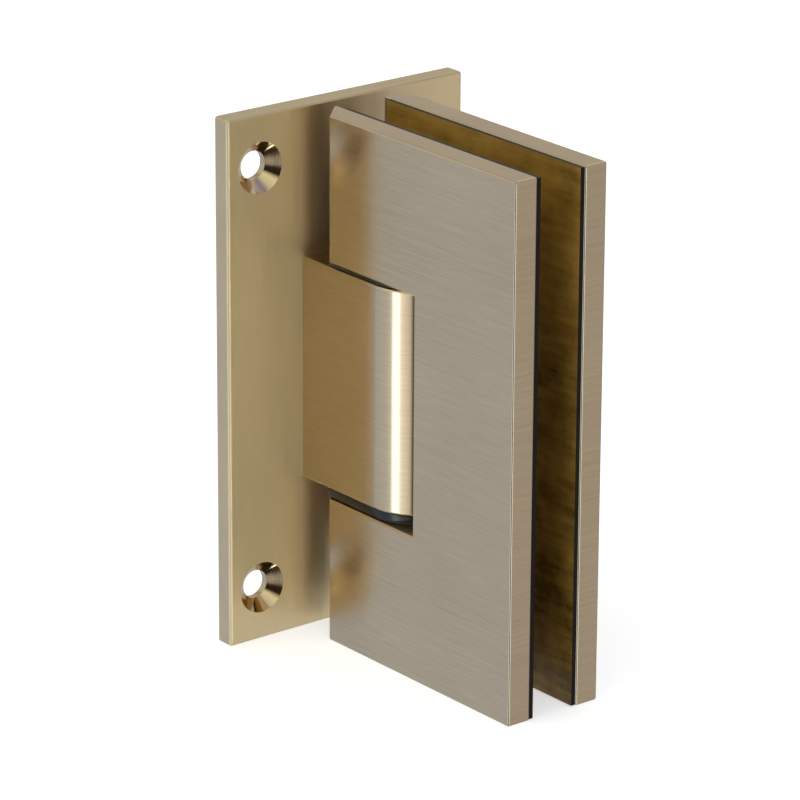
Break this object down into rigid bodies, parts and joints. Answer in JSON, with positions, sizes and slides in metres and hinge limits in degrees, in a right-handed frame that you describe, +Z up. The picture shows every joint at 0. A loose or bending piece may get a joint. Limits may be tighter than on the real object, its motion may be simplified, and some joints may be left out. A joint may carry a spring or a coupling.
{
  "type": "shower door hinge",
  "caption": "Wall-to-glass shower door hinge: flat wall plate with countersunk screw holes, round-nosed pivot block, and a notched glass clamp that swings on a pin with a sprung detent.",
  "frame": {"origin": "middle of the wall plate's back face, where it lies on the wall", "axes": "+X out of the wall along the closed door, +Y across the glass towards the screwed clamp plate, +Z up along the pin"},
  "size_m": [0.0568, 0.048, 0.09],
  "materials": {
    "satin_brass": "brushed satin, pale gold",
    "screw_brass": "turned satin",
    "steel": "turned stainless",
    "spring_steel": "drawn wire",
    "bush_polymer": "matt",
    "black_nylon": "satin",
    "glass_gasket": "soft satin"
  },
  "bodies": {
    "wall_side": {"wall_plate": "satin_brass", "pivot_block": "satin_brass", "block_screws": "steel", "upper_bush": "bush_polymer", "lower_bush": "bush_polymer", "upper_detent_spring": "spring_steel", "lower_detent_spring": "spring_steel", "upper_washer": "black_nylon", "lower_washer": "black_nylon"},
    "door_clamp": {"outer_clamp_plate": "satin_brass", "inner_clamp_plate": "satin_brass", "hinge_pin": "steel", "pin_grub_screws": "steel", "clamp_screws": "screw_brass", "outer_gasket": "glass_gasket", "inner_gasket": "glass_gasket"},
    "upper_plunger": {"upper_plunger": "steel"},
    "lower_plunger": {"lower_plunger": "steel"}
  },
  "joints": [
    {"name": "door_swing", "type": "hinge", "parent": "wall_side", "child": "door_clamp", "pos_m": [0.0222, 0, 0], "axis": [0, 0, 1], "range_deg": [-90, 90]},
    {"name": "upper_plunger_slide", "type": "slide", "parent": "wall_side", "child": "upper_plunger", "axis": [-1, 0, 0], "range_m": [0, 0.0007], "stiffness_N_per_m": 4000, "springref_m": -0.002, "deforming": ["upper_detent_spring"]},
    {"name": "lower_plunger_slide", "type": "slide", "parent": "wall_side", "child": "lower_plunger", "axis": [-1, 0, 0], "range_m": [0, 0.0007], "stiffness_N_per_m": 4000, "springref_m": -0.002, "deforming": ["lower_detent_spring"]}
  ]
}
